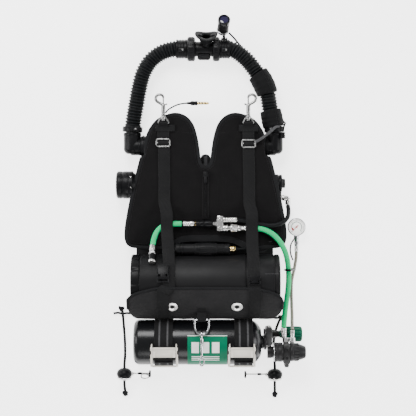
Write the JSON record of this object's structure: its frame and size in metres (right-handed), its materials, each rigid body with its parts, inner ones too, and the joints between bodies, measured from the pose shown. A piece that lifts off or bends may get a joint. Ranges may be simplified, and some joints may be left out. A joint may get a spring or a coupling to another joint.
{
  "type": "chest-mounted breathing apparatus",
  "caption": "Chest-worn rebreathing set: vest with counterlungs, hose loop with shut-off mouthpiece, scrubber canister, gas cylinder with valve, regulator, gauge and harness.",
  "frame": {"origin": "on the back face of the vest's back panel, on the vest's centre line", "axes": "+Y up the wearer's chest to the mouthpiece, +Z outwards from the chest, +X towards the cylinder valve"},
  "size_m": [0.477, 0.9585, 0.1495],
  "materials": {
    "cover_cloth": "matt woven nylon",
    "bladder": "welded coated cloth",
    "back_sheet": "matt sheet",
    "zip": "moulded teeth",
    "webbing": "woven webbing",
    "steel": "satin",
    "black_plastic": "machined, satin",
    "black_metal": "satin black",
    "sorbent": "packed granules in a perforated basket",
    "pouch_cloth": "coarse textured cloth",
    "cylinder_shell": "gloss black",
    "green_rubber": "satin",
    "grey_hose": "satin",
    "black_rubber": "satin",
    "gauge_metal": "polished",
    "needle_red": "matt",
    "elastic": "braided",
    "gold_plug": "plated, banded",
    "silicone": "soft, satin",
    "neoprene": "knitted face"
  },
  "bodies": {
    "vest": {"vest_cover": "cover_cloth", "counterlungs": "bladder", "back_panel": "back_sheet", "zip_chain": "zip", "straps": "webbing", "strap_hardware": "steel", "buckles": "black_plastic", "loop_ports": "black_plastic", "adv_body": "black_plastic", "o2_valve": "black_metal", "canister": "black_plastic", "scrubber": "sorbent", "pouch": "pouch_cloth", "grommets": "steel", "cylinder": "cylinder_shell", "cam_bands": "webbing", "valve_body": "black_metal", "first_stage": "black_metal", "hose_fittings": "steel", "gas_block": "steel", "inline_valve": "black_metal", "hose_green_left": "green_rubber", "hose_green_right": "green_rubber", "hose_gauge": "grey_hose", "hose_black": "black_rubber", "module": "black_plastic", "bungee_left": "elastic", "bungee_right": "elastic", "sensor_cable": "black_rubber", "sensor_plug": "gold_plug"},
    "zip_slider": {"zip_slider": "zip"},
    "lid": {"canister_lid": "black_plastic"},
    "d_ring": {"d_ring": "steel"},
    "hanging_snap": {"hanging_snap": "steel"},
    "knob": {"valve_knob": "green_rubber"},
    "cam_lever_left": {"cam_lever_left": "steel"},
    "cam_lever_right": {"cam_lever_right": "steel"},
    "stow_left": {"stow_left": "black_rubber"},
    "stow_right": {"stow_right": "black_rubber"},
    "adv_button": {"adv_button": "black_plastic"},
    "o2_button": {"o2_button": "black_plastic"},
    "qd_sleeve": {"qd_sleeve": "steel"},
    "gauge": {"gauge_case": "gauge_metal"},
    "needle": {"gauge_needle": "needle_red"},
    "snap_left": {"snap_left": "steel"},
    "snap_right": {"snap_right": "steel"},
    "gate_left": {"gate_left": "steel"},
    "gate_right": {"gate_right": "steel"},
    "loop": {"dsv_body": "black_plastic", "dsv_nuts": "black_plastic", "mouthpiece": "silicone", "one_way_valves": "silicone", "hose_left": "black_rubber", "hose_right": "black_rubber", "sleeves": "neoprene", "elbows": "black_plastic", "hose_clamps": "black_rubber", "hud_cable": "black_rubber"},
    "hud": {"hud": "black_plastic"},
    "shutoff": {"shutoff": "black_plastic"}
  },
  "joints": [
    {"name": "loop_swing", "type": "hinge", "parent": "vest", "child": "loop", "pos_m": [0, 0.154, 0.031], "axis": [1, 0, 0], "range_deg": [0, 100]},
    {"name": "shutoff_turn", "type": "hinge", "parent": "loop", "child": "shutoff", "pos_m": [-0.004, 0.4, 0.031], "axis": [1, 0, 0], "range_deg": [0, 70]},
    {"name": "hud_tilt", "type": "hinge", "parent": "loop", "child": "hud", "pos_m": [0.047, 0.42246, 0.04855], "axis": [1, 0, 0], "range_deg": [-10, 15]},
    {"name": "snap_left_swivel", "type": "hinge", "parent": "vest", "child": "snap_left", "pos_m": [-0.1045, 0.225, 0.075], "axis": [0, 1, 0], "continuous": true},
    {"name": "snap_right_swivel", "type": "hinge", "parent": "vest", "child": "snap_right", "pos_m": [0.106, 0.225, 0.075], "axis": [0, 1, 0], "continuous": true},
    {"name": "gate_left_slide", "type": "slide", "parent": "snap_left", "child": "gate_left", "axis": [0, -1, 0], "range_m": [0, 0.01], "stiffness_N_per_m": 200, "springref_m": -0.004},
    {"name": "gate_right_slide", "type": "slide", "parent": "snap_right", "child": "gate_right", "axis": [0, -1, 0], "range_m": [0, 0.01], "stiffness_N_per_m": 200, "springref_m": -0.004},
    {"name": "zip_slide", "type": "slide", "parent": "vest", "child": "zip_slider", "axis": [0, -1, 0], "range_m": [0, 0.085]},
    {"name": "adv_press", "type": "slide", "parent": "vest", "child": "adv_button", "axis": [1, 0, 0], "range_m": [0, 0.004], "stiffness_N_per_m": 600, "springref_m": -0.002},
    {"name": "o2_press", "type": "slide", "parent": "vest", "child": "o2_button", "axis": [-1, 0, 0], "range_m": [0, 0.002], "stiffness_N_per_m": 600, "springref_m": -0.002},
    {"name": "lid_turn", "type": "hinge", "parent": "vest", "child": "lid", "pos_m": [-0.172, -0.185, 0.07], "axis": [1, 0, 0], "range_deg": [0, 60]},
    {"name": "d_ring_flip", "type": "hinge", "parent": "vest", "child": "d_ring", "pos_m": [-0.009, -0.273, 0.118], "axis": [1, 0, 0], "range_deg": [-110, 0]},
    {"name": "snap_swing", "type": "hinge", "parent": "d_ring", "child": "hanging_snap", "pos_m": [-0.009, -0.309, 0.12], "axis": [1, 0, 0], "range_deg": [-45, 0]},
    {"name": "valve_turn", "type": "hinge", "parent": "vest", "child": "knob", "pos_m": [0.22, -0.317, 0.03], "axis": [1, 0, 0], "continuous": true},
    {"name": "cam_left_open", "type": "hinge", "parent": "vest", "child": "cam_lever_left", "pos_m": [-0.101, -0.34332, 0.12746], "axis": [1, 0, 0], "range_deg": [-110, 0]},
    {"name": "cam_right_open", "type": "hinge", "parent": "vest", "child": "cam_lever_right", "pos_m": [0.089, -0.34332, 0.12746], "axis": [1, 0, 0], "range_deg": [-110, 0]},
    {"name": "stow_left_slide", "type": "slide", "parent": "vest", "child": "stow_left", "axis": [0, 1, 0], "range_m": [-0.008, 0.008]},
    {"name": "stow_right_slide", "type": "slide", "parent": "vest", "child": "stow_right", "axis": [0, 1, 0], "range_m": [-0.008, 0.008]},
    {"name": "qd_slide", "type": "slide", "parent": "vest", "child": "qd_sleeve", "axis": [-1, 0, 0], "range_m": [0, 0.005], "stiffness_N_per_m": 400, "springref_m": -0.002},
    {"name": "gauge_swivel", "type": "hinge", "parent": "vest", "child": "gauge", "pos_m": [0.23, -0.08, 0.015], "axis": [0, 1, 0], "continuous": true},
    {"name": "needle_turn", "type": "hinge", "parent": "gauge", "child": "needle", "pos_m": [0.23, -0.048, 0.021], "axis": [0, 0, 1], "range_deg": [-270, 0]}
  ]
}
